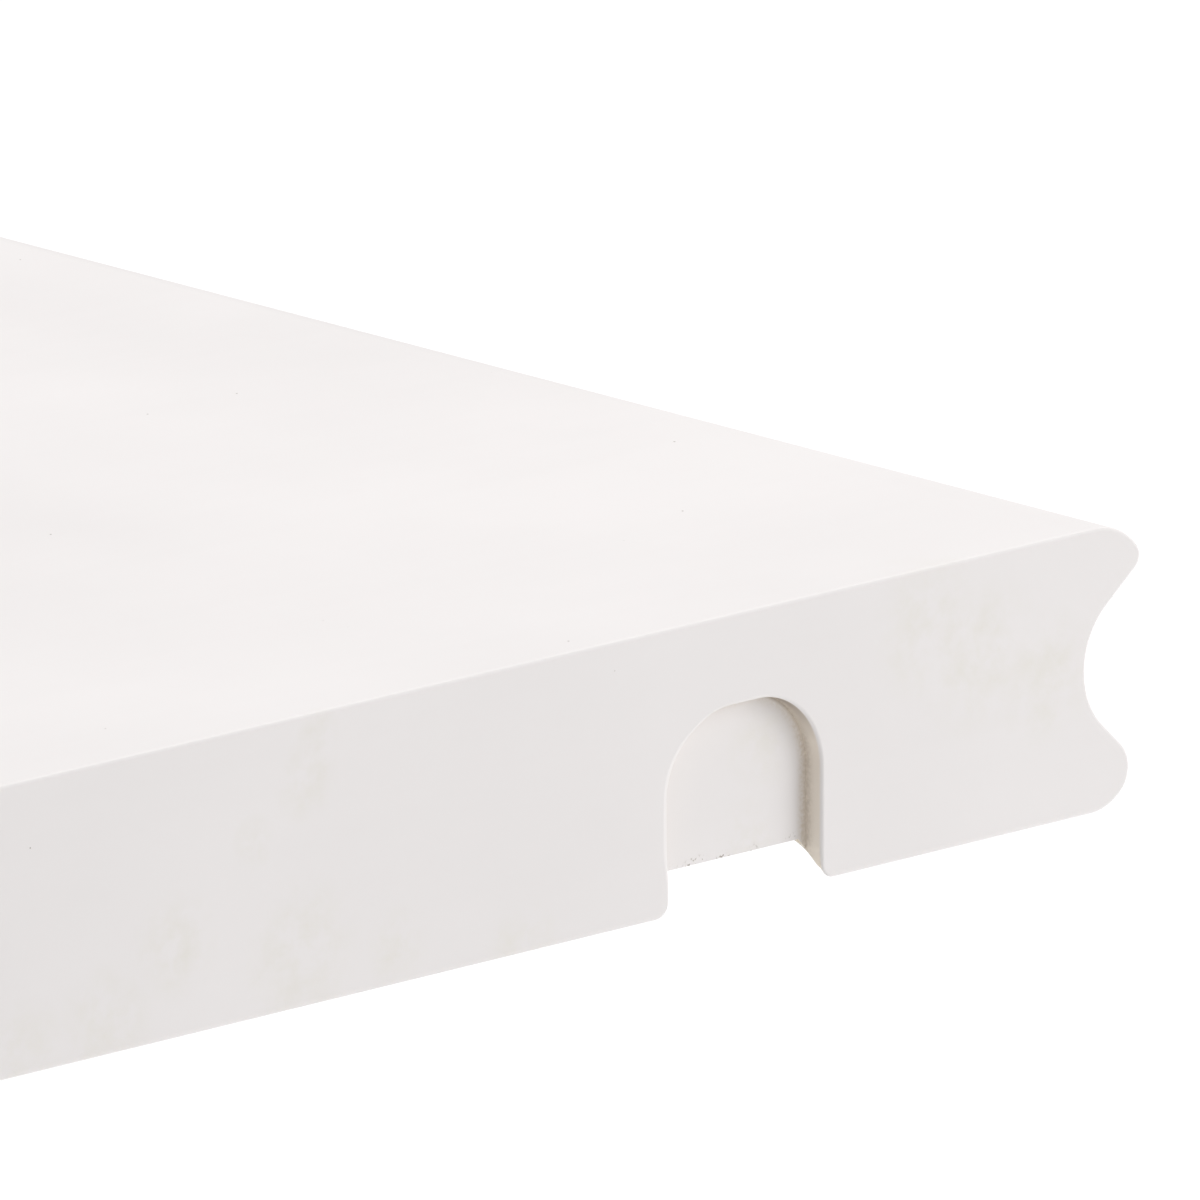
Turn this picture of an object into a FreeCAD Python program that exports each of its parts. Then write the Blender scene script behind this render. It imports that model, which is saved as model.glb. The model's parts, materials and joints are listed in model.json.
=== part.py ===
import FreeCAD, Part
import math
import os

from FreeCAD import Vector

# Floating wall shelf with a moulded edge and two concealed wall brackets.
#
# Row frame, in millimetres: +X runs along the shelf, +Y points into the wall and +Z is up.
# The origin is the centre of the board's back face, which lies on the wall plane Y = 0.
# The board is glued up from staves that run along X. Its two ends and its front carry one
# moulding: an upper nose, a cove and a lower nose. Each bracket is bent from sheet steel.
# Its ear stands in an arched seat in the back face and its arm lies in a pocket in the
# underside. The shelf is modelled lifted off its brackets, straight up, by LIFT_OFF.

# ---------------------------------------------------------------- driving dimensions
# Board
LENGTH = 610.0
DEPTH = 254.0
THICKNESS = 38.0
STAVE_NAMES = ["stave_back", "stave_mid_back", "stave_mid_front", "stave_front"]

# Edge moulding. Distances are heights, or depths in from the tip of the upper nose.
TOP_NOSE_RADIUS = 2.2
TOP_NOSE_LAND = 2.6  # height that the large round adds above the upper nose
TOP_ROUND_RADIUS = 9.6  # large round from the top face into the upper nose
LOW_NOSE_RADIUS = 4.4
LOW_NOSE_LAND = 0.8  # height that the large round adds below the lower nose
LOW_ROUND_RADIUS = 8.0  # large round from the underside into the lower nose
LOW_NOSE_SETBACK = 1.8  # the lower nose stops this far behind the upper one
COVE_DEPTH = 9.8
LOW_FLANK = 4.7  # straight flank between the cove and the lower nose

# Brackets
SEAT_INSET = 70.0  # from the board's end to the centre of a bracket
SHEET = 2.5
BEND_INSIDE_RADIUS = 0.5
EAR_WIDTH = 24.5
EAR_TOP = 24.5  # height of the ear's crown above the board's underside
EAR_CROWN_FLAT = 2.0  # short flat between the two rounds of the crown
ARM_WIDTH = 58.0
ARM_REACH = 54.0  # from the wall to the arm's front edge
ARM_CORNER_RADIUS = 6.0

# Room for the brackets in the board
EAR_CLEARANCE = 0.5  # between the ear's face and the bottom of its seat
EAR_SIDE_CLEARANCE = 1.25
EAR_TOP_CLEARANCE = 1.5
NECK_CLEARANCE = 1.2  # on each side of the bracket's neck, at the roof of the mouth
ARM_CLEARANCE = 0.8  # around the arm, clear of the cutter's corner
ARM_TOP_GAP = 0.2  # between the arm and the roof of its pocket
HEAD_GAP = 0.2  # between the fixing screws' heads and the underside
CUTTER_CORNER = 2.7  # round that the cutter leaves along the roof of a pocket
FOOT_RADIUS = 1.9  # rounded feet of a seat in the back face
FOOT_LEAN = 5.0  # degrees off upright of the mouth's sides in the back face
INNER_FOOT_RADIUS = 3.5
INNER_FOOT_LEAN = 39.0  # the sides lean further towards the pocket

# Screws and plugs
WALL_SCREW_DIAMETER = 4.5
WALL_SCREW_LENGTH = 40.0
WALL_SCREW_HEAD_DIAMETER = 8.6
WALL_SCREW_RIM = 0.35  # straight rim above the countersunk cone
WALL_SCREW_BELOW_CROWN = 11.0
WALL_SCREW_HOLE_CLEARANCE = 0.15
FIXING_SCREW_DIAMETER = 3.8
FIXING_SCREW_LENGTH = 15.0
FIXING_SCREW_HEAD_DIAMETER = 7.8
FIXING_SCREW_HEAD_HEIGHT = 2.2
FIXING_SCREW_INSET = 9.0  # from the arm's edges to the screws
FIXING_HOLE_CLEARANCE = 0.3
PILOT_END_ROOM = 1.0
SCREW_POINT_LENGTH = 3.0
DRIVE_SLOT_WIDTH = 1.0
DRIVE_SLOT_LENGTH = 4.4
DRIVE_SLOT_DEPTH = 1.3
PLUG_DIAMETER = 8.0
PLUG_LENGTH = 35.0
PLUG_BORE_CLEARANCE = 0.05
PLUG_SOLID_COLLAR = 7.0  # unsplit length at the mouth of the plug
PLUG_SLOT_WIDTH = 0.8
PLUG_SLOT_TURNS = [45.0, 135.0]  # degrees about the plug's axis
PLUG_NOSE_CHAMFER = 1.0

# How far the shelf is lifted off its brackets
LIFT_OFF = 70.0

# ---------------------------------------------------------------- sizes that follow
UNDERSIDE = -THICKNESS / 2
TOP_FACE = THICKNESS / 2
END_X = LENGTH / 2
SEAT_X = END_X - SEAT_INSET
SIDES = {"left": -SEAT_X, "right": SEAT_X}

SEAT_DEPTH = SHEET + EAR_CLEARANCE
SEAT_WIDTH = EAR_WIDTH + 2 * EAR_SIDE_CLEARANCE
SEAT_TOP = UNDERSIDE + EAR_TOP + EAR_TOP_CLEARANCE
EAR_CORNER_RADIUS = (EAR_WIDTH - EAR_CROWN_FLAT) / 2
SEAT_CORNER_RADIUS = EAR_CORNER_RADIUS + EAR_SIDE_CLEARANCE

POCKET_DEPTH = SHEET + FIXING_SCREW_HEAD_HEIGHT + ARM_TOP_GAP + HEAD_GAP
POCKET_ROOF = UNDERSIDE + POCKET_DEPTH
MOUTH_TOP = POCKET_ROOF - CUTTER_CORNER
MOUTH_ROOF_HALF = SEAT_WIDTH / 2 - CUTTER_CORNER * math.tan(math.radians(INNER_FOOT_LEAN))
NECK_WIDTH = 2 * (MOUTH_ROOF_HALF - NECK_CLEARANCE)
ARM_ROOM = ARM_CLEARANCE + CUTTER_CORNER
POCKET_WIDTH = ARM_WIDTH + 2 * ARM_ROOM
POCKET_FRONT = ARM_REACH + ARM_ROOM
POCKET_CORNER_RADIUS = ARM_CORNER_RADIUS + ARM_ROOM

ARM_TOP = POCKET_ROOF - ARM_TOP_GAP
ARM_BOTTOM = ARM_TOP - SHEET
ARM_START = SEAT_DEPTH + ARM_ROOM
WALL_SCREW_Z = UNDERSIDE + EAR_TOP - WALL_SCREW_BELOW_CROWN
FIXING_SCREW_PLACES = [
    (-(ARM_WIDTH / 2 - FIXING_SCREW_INSET), -(ARM_START + FIXING_SCREW_INSET)),
    (ARM_WIDTH / 2 - FIXING_SCREW_INSET, -(ARM_START + FIXING_SCREW_INSET)),
    (0.0, -(ARM_REACH - FIXING_SCREW_INSET)),
]
OVERCUT = 1.0  # how far a cutting tool runs past the face that it leaves through


# ---------------------------------------------------------------- small helpers
def line(start, end):
    return Part.LineSegment(start, end).toShape()


def arc(start, through, end):
    return Part.Arc(start, through, end).toShape()


def face_of(edges):
    return Part.Face(Part.Wire(edges))


def round_prism(x_low, x_high, y_low, y_high, z_low, height, radius):
    """An upright block whose four corners are rounded in plan."""
    block = Part.makeBox(x_high - x_low, y_high - y_low, height, Vector(x_low, y_low, z_low))
    upright = [edge for edge in block.Edges if abs(edge.tangentAt(edge.FirstParameter).z) > 0.5]
    return block.makeFillet(radius, upright)


# ---------------------------------------------------------------- the edge moulding
class Nose:
    """One nose of the moulding, in (depth, height) with depth measured in from the upper tip.

    `side` is +1 for the upper nose and -1 for the lower one. The large round runs from the
    board's face into the nose and is tangent to both.
    """

    def __init__(self, side, face_height, setback, radius, land, round_radius):
        tip_height = face_height - side * (radius + land)
        run_in = math.sqrt((round_radius - radius) ** 2 - (round_radius - radius - land) ** 2)
        self.side = side
        self.radius = radius
        self.tip = Vector(setback, tip_height, 0)
        self.centre = Vector(setback + radius, tip_height, 0)
        self.on_face = Vector(self.centre.x + run_in, face_height, 0)
        round_centre = Vector(self.on_face.x, face_height - side * round_radius, 0)
        towards_nose = (self.centre - round_centre).normalize()
        towards_middle = (Vector(0, side, 0) + towards_nose).normalize()
        self.round_middle = round_centre + towards_middle * round_radius
        self.round_end = round_centre + towards_nose * round_radius

    def flank_points(self, cove_centre, cove_radius):
        """The flank touches the cove and the nose, which lie on opposite sides of it."""
        between = self.centre - cove_centre
        spread = math.acos((cove_radius + self.radius) / between.Length)
        angle = math.atan2(between.y, between.x) - self.side * spread
        across = Vector(math.cos(angle), math.sin(angle), 0)
        return cove_centre + across * cove_radius, self.centre - across * self.radius


UPPER = Nose(1, TOP_FACE, 0.0, TOP_NOSE_RADIUS, TOP_NOSE_LAND, TOP_ROUND_RADIUS)
LOWER = Nose(-1, UNDERSIDE, LOW_NOSE_SETBACK, LOW_NOSE_RADIUS, LOW_NOSE_LAND, LOW_ROUND_RADIUS)
COVE_BOTTOM = Vector(COVE_DEPTH, (UPPER.tip.y + LOWER.tip.y) / 2, 0)
# The cove is the circle through its own bottom whose flank to the lower nose is LOW_FLANK long.
TO_LOWER_NOSE = LOWER.centre - COVE_BOTTOM
COVE_RADIUS = (TO_LOWER_NOSE.dot(TO_LOWER_NOSE) - LOW_NOSE_RADIUS**2 - LOW_FLANK**2) / (
    2 * (LOW_NOSE_RADIUS - TO_LOWER_NOSE.x)
)
COVE_CENTRE = COVE_BOTTOM - Vector(COVE_RADIUS, 0, 0)


def moulding_edges(place):
    """The moulding from the top face to the underside; `place` maps (depth, height) to space."""
    cove_start, upper_flank = UPPER.flank_points(COVE_CENTRE, COVE_RADIUS)
    cove_end, lower_flank = LOWER.flank_points(COVE_CENTRE, COVE_RADIUS)
    return [
        arc(place(UPPER.on_face), place(UPPER.round_middle), place(UPPER.round_end)),
        arc(place(UPPER.round_end), place(UPPER.tip), place(upper_flank)),
        line(place(upper_flank), place(cove_start)),
        arc(place(cove_start), place(COVE_BOTTOM), place(cove_end)),
        line(place(cove_end), place(lower_flank)),
        arc(place(lower_flank), place(LOWER.tip), place(LOWER.round_end)),
        arc(place(LOWER.round_end), place(LOWER.round_middle), place(LOWER.on_face)),
    ]


# ---------------------------------------------------------------- the board
def moulded_blank():
    """The board before its seats are cut: the moulding meets in a mitre at the front corners."""

    def at_right_end(point):
        return Vector(END_X - point.x, 0, point.y)

    def at_left_end(point):
        return Vector(-END_X + point.x, 0, point.y)

    def at_front(point):
        return Vector(-END_X, -DEPTH + point.x, point.y)

    lengthwise = face_of(
        [line(at_left_end(UPPER.on_face), at_right_end(UPPER.on_face))]
        + moulding_edges(at_right_end)
        + [line(at_right_end(LOWER.on_face), at_left_end(LOWER.on_face))]
        + moulding_edges(at_left_end)
    ).extrude(Vector(0, -DEPTH, 0))
    back_top = Vector(-END_X, 0, TOP_FACE)
    back_bottom = Vector(-END_X, 0, UNDERSIDE)
    crosswise = face_of(
        moulding_edges(at_front)
        + [
            line(at_front(LOWER.on_face), back_bottom),
            line(back_bottom, back_top),
            line(back_top, at_front(UPPER.on_face)),
        ]
    ).extrude(Vector(LENGTH, 0, 0))
    return lengthwise.common(crosswise)


def seat_tool():
    """Cuts the arched seat for an ear."""
    half = SEAT_WIDTH / 2
    shoulder = SEAT_TOP - SEAT_CORNER_RADIUS
    crown = half - SEAT_CORNER_RADIUS
    corner = SEAT_CORNER_RADIUS * math.sqrt(0.5)
    below = UNDERSIDE - OVERCUT

    def at(x, z):
        return Vector(x, OVERCUT, z)

    outline = face_of(
        [
            line(at(-half, below), at(half, below)),
            line(at(half, below), at(half, shoulder)),
            arc(at(half, shoulder), at(crown + corner, shoulder + corner), at(crown, SEAT_TOP)),
            line(at(crown, SEAT_TOP), at(-crown, SEAT_TOP)),
            arc(at(-crown, SEAT_TOP), at(-crown - corner, shoulder + corner), at(-half, shoulder)),
            line(at(-half, shoulder), at(-half, below)),
        ]
    )
    return outline.extrude(Vector(0, -(SEAT_DEPTH + OVERCUT), 0))


def mouth_wire(y, lean_degrees, foot_radius):
    """The mouth's outline: each flank passes the seat's side at MOUTH_TOP and ends in a foot."""
    lean = math.radians(lean_degrees)
    half_turn = (math.pi / 2 - lean) / 2
    half = SEAT_WIDTH / 2
    roof = half - (POCKET_ROOF - MOUTH_TOP) * math.tan(lean)
    ankle = UNDERSIDE + foot_radius * (1 - math.sin(lean))
    instep = UNDERSIDE + foot_radius * (1 - math.cos(half_turn))
    flank_end = half + (MOUTH_TOP - ankle) * math.tan(lean)
    foot = flank_end + foot_radius * math.cos(lean)
    middle = foot - foot_radius * math.sin(half_turn)
    below = UNDERSIDE - OVERCUT

    def at(x, z):
        return Vector(x, y, z)

    return Part.Wire(
        [
            line(at(-roof, POCKET_ROOF), at(roof, POCKET_ROOF)),
            line(at(roof, POCKET_ROOF), at(flank_end, ankle)),
            arc(at(flank_end, ankle), at(middle, instep), at(foot, UNDERSIDE)),
            line(at(foot, UNDERSIDE), at(foot, below)),
            line(at(foot, below), at(-foot, below)),
            line(at(-foot, below), at(-foot, UNDERSIDE)),
            arc(at(-foot, UNDERSIDE), at(-middle, instep), at(-flank_end, ankle)),
            line(at(-flank_end, ankle), at(-roof, POCKET_ROOF)),
        ]
    )


def mouth_tool():
    """Cuts the mouth that joins a seat to its pocket: steep at the back face, flared inside."""
    outer = mouth_wire(0, FOOT_LEAN, FOOT_RADIUS)
    inner = mouth_wire(-SEAT_DEPTH, INNER_FOOT_LEAN, INNER_FOOT_RADIUS)
    reach = ARM_START + CUTTER_CORNER - SEAT_DEPTH
    before = Part.Face(outer).extrude(Vector(0, OVERCUT, 0))
    beyond = Part.Face(inner).extrude(Vector(0, -reach, 0))
    return Part.makeLoft([outer, inner], True, True).fuse([before, beyond])


def pocket_tool():
    """Cuts the pocket for an arm, with the cutter's round along its roof."""
    height = POCKET_DEPTH + OVERCUT
    bottom = UNDERSIDE - OVERCUT
    pocket = round_prism(
        -POCKET_WIDTH / 2, POCKET_WIDTH / 2, -POCKET_FRONT, -SEAT_DEPTH, bottom, height, POCKET_CORNER_RADIUS
    )
    roof_edges = [edge for edge in pocket.Edges if abs(edge.CenterOfMass.z - POCKET_ROOF) < OVERCUT / 10]
    return pocket.makeFillet(CUTTER_CORNER, roof_edges)


def pilot_holes():
    """Holes in the roof of a pocket for the three fixing screws."""
    depth = ARM_BOTTOM + FIXING_SCREW_LENGTH + PILOT_END_ROOM - POCKET_ROOF
    radius = FIXING_SCREW_DIAMETER / 2 + FIXING_HOLE_CLEARANCE
    start = POCKET_ROOF - OVERCUT
    return [
        Part.makeCylinder(radius, depth + OVERCUT, Vector(x, y, start)) for x, y in FIXING_SCREW_PLACES
    ]


def board():
    shape = moulded_blank()
    cutters = [seat_tool(), mouth_tool(), pocket_tool()] + pilot_holes()
    for seat_x in SIDES.values():
        for cutter in cutters:
            shape = shape.cut(cutter.translated(Vector(seat_x, 0, 0)))
    return shape


def staves():
    """The board sawn into its staves, from the back to the front."""
    whole = board()
    width = DEPTH / len(STAVE_NAMES)
    pieces = {}
    for index, name in enumerate(STAVE_NAMES):
        strip = Part.makeBox(LENGTH, width, THICKNESS, Vector(-END_X, -(index + 1) * width, UNDERSIDE))
        pieces[name] = whole.common(strip)
    return pieces


# ---------------------------------------------------------------- brackets, screws and plugs
def ear():
    """The upright leaf, flat on the wall, with its arched crown."""
    half = EAR_WIDTH / 2
    top = UNDERSIDE + EAR_TOP
    shoulder = top - EAR_CORNER_RADIUS
    crown = half - EAR_CORNER_RADIUS
    corner = EAR_CORNER_RADIUS * math.sqrt(0.5)
    foot = ARM_TOP + BEND_INSIDE_RADIUS

    def at(x, z):
        return Vector(x, 0, z)

    outline = face_of(
        [
            line(at(-half, foot), at(half, foot)),
            line(at(half, foot), at(half, shoulder)),
            arc(at(half, shoulder), at(crown + corner, shoulder + corner), at(crown, top)),
            line(at(crown, top), at(-crown, top)),
            arc(at(-crown, top), at(-crown - corner, shoulder + corner), at(-half, shoulder)),
            line(at(-half, shoulder), at(-half, foot)),
        ]
    )
    return outline.extrude(Vector(0, -SHEET, 0))


def bend():
    """The quarter turn that joins the ear to the arm."""
    outside_radius = BEND_INSIDE_RADIUS + SHEET
    centre = Vector(-NECK_WIDTH / 2, -outside_radius, ARM_TOP + BEND_INSIDE_RADIUS)
    along = Vector(1, 0, 0)
    outer = Part.makeCylinder(outside_radius, NECK_WIDTH, centre, along)
    inner = Part.makeCylinder(BEND_INSIDE_RADIUS, NECK_WIDTH, centre, along)
    quarter = Part.makeBox(
        NECK_WIDTH, outside_radius, outside_radius, centre - Vector(0, 0, outside_radius)
    )
    return outer.cut(inner).common(quarter)


def arm():
    """The leaf under the board: a narrow neck, then the wide plate."""
    neck_start = -(BEND_INSIDE_RADIUS + SHEET)
    neck_end = -(ARM_START + ARM_CORNER_RADIUS)
    neck = Part.makeBox(
        NECK_WIDTH, neck_start - neck_end, SHEET, Vector(-NECK_WIDTH / 2, neck_end, ARM_BOTTOM)
    )
    plate = round_prism(
        -ARM_WIDTH / 2, ARM_WIDTH / 2, -ARM_REACH, -ARM_START, ARM_BOTTOM, SHEET, ARM_CORNER_RADIUS
    )
    return neck.fuse(plate)


def countersink(clearance):
    """The cone of a countersunk head whose flat top is level with the ear's front face."""
    head_radius = WALL_SCREW_HEAD_DIAMETER / 2 + clearance
    shank_radius = WALL_SCREW_DIAMETER / 2 + clearance
    cone_height = head_radius - shank_radius
    mouth = Vector(0, -SHEET, WALL_SCREW_Z)
    into_wall = Vector(0, 1, 0)
    rim = Part.makeCylinder(head_radius, WALL_SCREW_RIM, mouth, into_wall)
    cone = Part.makeCone(
        head_radius, shank_radius, cone_height, mouth + into_wall * WALL_SCREW_RIM, into_wall
    )
    return rim.fuse(cone)


def wall_bracket():
    shape = ear().fuse(bend()).fuse(arm()).removeSplitter()
    screw_hole = Part.makeCylinder(
        WALL_SCREW_DIAMETER / 2 + WALL_SCREW_HOLE_CLEARANCE,
        SHEET,
        Vector(0, -SHEET, WALL_SCREW_Z),
        Vector(0, 1, 0),
    )
    shape = shape.cut(screw_hole.fuse(countersink(WALL_SCREW_HOLE_CLEARANCE)).removeSplitter())
    for x, y in FIXING_SCREW_PLACES:
        radius = FIXING_SCREW_DIAMETER / 2 + FIXING_HOLE_CLEARANCE
        shape = shape.cut(Part.makeCylinder(radius, SHEET, Vector(x, y, ARM_BOTTOM)))
    return shape


def drive_cross(head_centre, into_head):
    """The cross recess of a screw head, cut from its outer face."""
    sideways = Vector(1, 0, 0)
    upright = into_head.cross(sideways)
    cross = None
    for long_way, short_way in ((sideways, upright), (upright, sideways)):
        corner = head_centre - long_way * (DRIVE_SLOT_LENGTH / 2) - short_way * (DRIVE_SLOT_WIDTH / 2)
        near = [
            corner,
            corner + long_way * DRIVE_SLOT_LENGTH,
            corner + long_way * DRIVE_SLOT_LENGTH + short_way * DRIVE_SLOT_WIDTH,
            corner + short_way * DRIVE_SLOT_WIDTH,
        ]
        slot = Part.Face(Part.makePolygon(near + near[:1])).extrude(into_head * DRIVE_SLOT_DEPTH)
        cross = slot if cross is None else cross.fuse(slot)
    return cross.removeSplitter()


def wall_screw():
    """A countersunk wood screw that runs through the ear into the wall plug."""
    into_wall = Vector(0, 1, 0)
    head_centre = Vector(0, -SHEET, WALL_SCREW_Z)
    radius = WALL_SCREW_DIAMETER / 2
    shank = Part.makeCylinder(radius, WALL_SCREW_LENGTH - SCREW_POINT_LENGTH, head_centre, into_wall)
    point_start = head_centre + into_wall * (WALL_SCREW_LENGTH - SCREW_POINT_LENGTH)
    point = Part.makeCone(radius, 0, SCREW_POINT_LENGTH, point_start, into_wall)
    shape = shank.fuse(point).fuse(countersink(0)).removeSplitter()
    return shape.cut(drive_cross(head_centre, into_wall))


def wall_plug():
    """A nylon plug that lies in the wall behind the ear, split into four legs at its far end."""
    radius = PLUG_DIAMETER / 2
    bore_radius = WALL_SCREW_DIAMETER / 2 + PLUG_BORE_CLEARANCE
    mouth = Vector(0, 0, WALL_SCREW_Z)
    into_wall = Vector(0, 1, 0)
    barrel = Part.makeCylinder(radius, PLUG_LENGTH - PLUG_NOSE_CHAMFER, mouth, into_wall)
    nose_start = mouth + into_wall * (PLUG_LENGTH - PLUG_NOSE_CHAMFER)
    nose = Part.makeCone(radius, radius - PLUG_NOSE_CHAMFER, PLUG_NOSE_CHAMFER, nose_start, into_wall)
    shape = barrel.fuse(nose).cut(Part.makeCylinder(bore_radius, PLUG_LENGTH, mouth, into_wall))
    split = PLUG_LENGTH - PLUG_SOLID_COLLAR
    for turn in PLUG_SLOT_TURNS:
        corner = Vector(-PLUG_SLOT_WIDTH / 2, PLUG_SOLID_COLLAR, WALL_SCREW_Z - PLUG_DIAMETER / 2)
        slot = Part.makeBox(PLUG_SLOT_WIDTH, split, PLUG_DIAMETER, corner)
        slot.rotate(mouth, into_wall, turn)
        shape = shape.cut(slot)
    return shape


def fixing_screw(x, y):
    """A pan head screw that runs up through the arm into the board."""
    up = Vector(0, 0, 1)
    under_head = Vector(x, y, ARM_BOTTOM)
    radius = FIXING_SCREW_DIAMETER / 2
    straight = FIXING_SCREW_LENGTH - SCREW_POINT_LENGTH
    shank = Part.makeCylinder(radius, straight, under_head, up)
    point = Part.makeCone(radius, 0, SCREW_POINT_LENGTH, under_head + up * straight, up)
    head_face = under_head - up * FIXING_SCREW_HEAD_HEIGHT
    head = Part.makeCylinder(FIXING_SCREW_HEAD_DIAMETER / 2, FIXING_SCREW_HEAD_HEIGHT, head_face, up)
    outer_rim = [edge for edge in head.Edges if edge.CenterOfMass.z < head_face.z + OVERCUT / 10]
    head = head.makeFillet(FIXING_SCREW_HEAD_HEIGHT / 2, outer_rim)
    return shank.fuse(point).fuse(head).removeSplitter().cut(drive_cross(head_face, up))


def hardware():
    """Both brackets with their screws and plugs, lowered clear of the board."""
    pieces = {}
    for side, seat_x in SIDES.items():
        at_seat = {
            "wall_bracket_" + side: wall_bracket(),
            "wall_screw_" + side: wall_screw(),
            "wall_plug_" + side: wall_plug(),
        }
        for number, (x, y) in enumerate(FIXING_SCREW_PLACES, start=1):
            at_seat["fixing_screw_" + side + "_" + str(number)] = fixing_screw(x, y)
        for name, shape in at_seat.items():
            pieces[name] = shape.translated(Vector(seat_x, 0, -LIFT_OFF))
    return pieces


def main():
    os.makedirs("parts", exist_ok=True)
    pieces = {**staves(), **hardware()}
    for name, shape in pieces.items():
        box = shape.BoundBox
        print(name, len(shape.Solids), "solid", round(shape.Volume, 1), "mm3",
              [round(value, 2) for value in (box.XMin, box.YMin, box.ZMin, box.XMax, box.YMax, box.ZMax)])
        shape.exportStep("parts/" + name + ".step")


main()
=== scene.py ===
# %% [markdown]
# # A floating wall shelf, lifted off its hidden brackets
#
# The shelf is a thick board of solid wood, painted white. Its front and both ends carry one
# moulding: a nose, a cove and a second nose. Its back is flat, because it lies against a wall.
# Two arched seats in the back take the ears of two steel brackets, and a pocket under the board
# takes each bracket's arm. Here the board has been lifted off, so its seats stand open and the
# brackets wait below with their screws and wall plugs.
#
# We work in metres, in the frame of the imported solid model: +X along the shelf, +Y into the
# wall, +Z up, and the origin at the centre of the back face. The solid model is loaded first.
# It says where each piece is, and the pieces that we make must stay inside its box.

import json
import math

import bmesh
import bpy
from mathutils import Matrix, Vector


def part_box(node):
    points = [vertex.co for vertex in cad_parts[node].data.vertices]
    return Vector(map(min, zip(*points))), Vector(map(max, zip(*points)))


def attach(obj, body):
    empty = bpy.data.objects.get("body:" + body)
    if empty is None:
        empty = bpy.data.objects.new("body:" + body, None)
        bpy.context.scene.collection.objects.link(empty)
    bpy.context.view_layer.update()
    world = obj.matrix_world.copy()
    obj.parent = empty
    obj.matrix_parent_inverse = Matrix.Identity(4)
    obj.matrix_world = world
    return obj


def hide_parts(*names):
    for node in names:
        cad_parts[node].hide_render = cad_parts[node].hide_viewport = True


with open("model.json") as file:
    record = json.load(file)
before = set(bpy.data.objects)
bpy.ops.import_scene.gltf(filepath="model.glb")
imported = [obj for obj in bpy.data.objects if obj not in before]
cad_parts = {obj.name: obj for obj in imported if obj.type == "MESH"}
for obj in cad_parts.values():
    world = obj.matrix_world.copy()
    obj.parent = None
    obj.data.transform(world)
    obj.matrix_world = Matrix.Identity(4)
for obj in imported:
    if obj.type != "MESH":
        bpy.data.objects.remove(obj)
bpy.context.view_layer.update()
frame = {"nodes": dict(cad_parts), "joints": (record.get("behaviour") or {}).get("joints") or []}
NODES = frame["nodes"]
MM = 0.001
scene = bpy.context.scene

# %% [markdown]
# ## The sizes of the board
#
# A joiner's drawing gives a board as length, depth and thickness, and its moulding as a section
# with radii. We keep the same values here, so that every piece is worked out from them. The
# board's box comes from the solid model's four staves, which makes the two agree.

# %% Sizes
STAVES = ["stave_back", "stave_mid_back", "stave_mid_front", "stave_front"]
low = Vector(map(min, *[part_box(name)[0] for name in STAVES]))
high = Vector(map(max, *[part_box(name)[1] for name in STAVES]))
END_X, FRONT_Y = high.x, low.y
TOP, UNDER = high.z, low.z
SEAT_X = sum(corner.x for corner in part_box("wall_plug_right")) / 2
LIFT = frame["joints"][0]["range_m"][1]
print("board:", [round(v / MM, 1) for v in high - low], "mm; bracket centres at", round(SEAT_X / MM, 1))

# %% [markdown]
# ## The moulding's section
#
# A router cutter leaves circular arcs, so we draw the section as arcs and let the straight
# flanks fall between them. Each point is (depth in from the upper nose, height). A large round
# leads from the top into the upper nose, the cove is the hollow in the middle, and the lower
# nose stands a little further back. One function samples an arc, and the section is a list.

# %% Draw the section
def arc_points(centre, radius, start, end, count=14):
    """Points on an arc from one angle to another, in degrees, ends included."""
    angles = [math.radians(start + (end - start) * i / count) for i in range(count + 1)]
    return [(centre[0] + radius * math.cos(a), centre[1] + radius * math.sin(a)) for a in angles]


def nose_and_round(side, face_z, setback, radius, land, round_radius):
    """Centres of a nose and of the large round that leads into it, and the angle where they meet."""
    nose = (setback + radius, face_z - side * (radius + land))
    run_in = math.sqrt((round_radius - radius) ** 2 - (round_radius - radius - land) ** 2)
    large = (nose[0] + run_in, face_z - side * round_radius)
    meet = math.degrees(math.atan2(nose[1] - large[1], nose[0] - large[0])) % 360
    return nose, large, meet


def flank_angle(side, cove, cove_radius, nose, nose_radius):
    """Direction in which the straight flank between a cove and a nose faces, seen from the cove."""
    dx, dz = nose[0] - cove[0], nose[1] - cove[1]
    spread = math.degrees(math.acos((cove_radius + nose_radius) / math.hypot(dx, dz)))
    return math.degrees(math.atan2(dz, dx)) - side * spread


UP_R, UP_LAND, UP_ROUND = 2.2 * MM, 2.6 * MM, 9.6 * MM
LOW_R, LOW_LAND, LOW_ROUND, LOW_SETBACK = 4.4 * MM, 0.8 * MM, 8.0 * MM, 1.8 * MM
COVE_DEPTH, FLANK = 9.8 * MM, 4.7 * MM
up_nose, up_large, up_meet = nose_and_round(1, TOP, 0.0, UP_R, UP_LAND, UP_ROUND)
low_nose, low_large, low_meet = nose_and_round(-1, UNDER, LOW_SETBACK, LOW_R, LOW_LAND, LOW_ROUND)
cove_z = (up_nose[1] + low_nose[1]) / 2
dx, dz = low_nose[0] - COVE_DEPTH, low_nose[1] - cove_z
COVE_R = (dx * dx + dz * dz - LOW_R**2 - FLANK**2) / (2 * (LOW_R - dx))
cove = (COVE_DEPTH - COVE_R, cove_z)
up_flank = flank_angle(1, cove, COVE_R, up_nose, UP_R)
low_flank = flank_angle(-1, cove, COVE_R, low_nose, LOW_R)
section = arc_points(up_large, UP_ROUND, 90, up_meet)
section += arc_points(up_nose, UP_R, up_meet, 180 + up_flank)[1:]
section += arc_points(cove, COVE_R, up_flank, low_flank, count=28)
section += arc_points(low_nose, LOW_R, 180 + low_flank, low_meet)
section += arc_points(low_large, LOW_ROUND, low_meet, 270)[1:]
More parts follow.
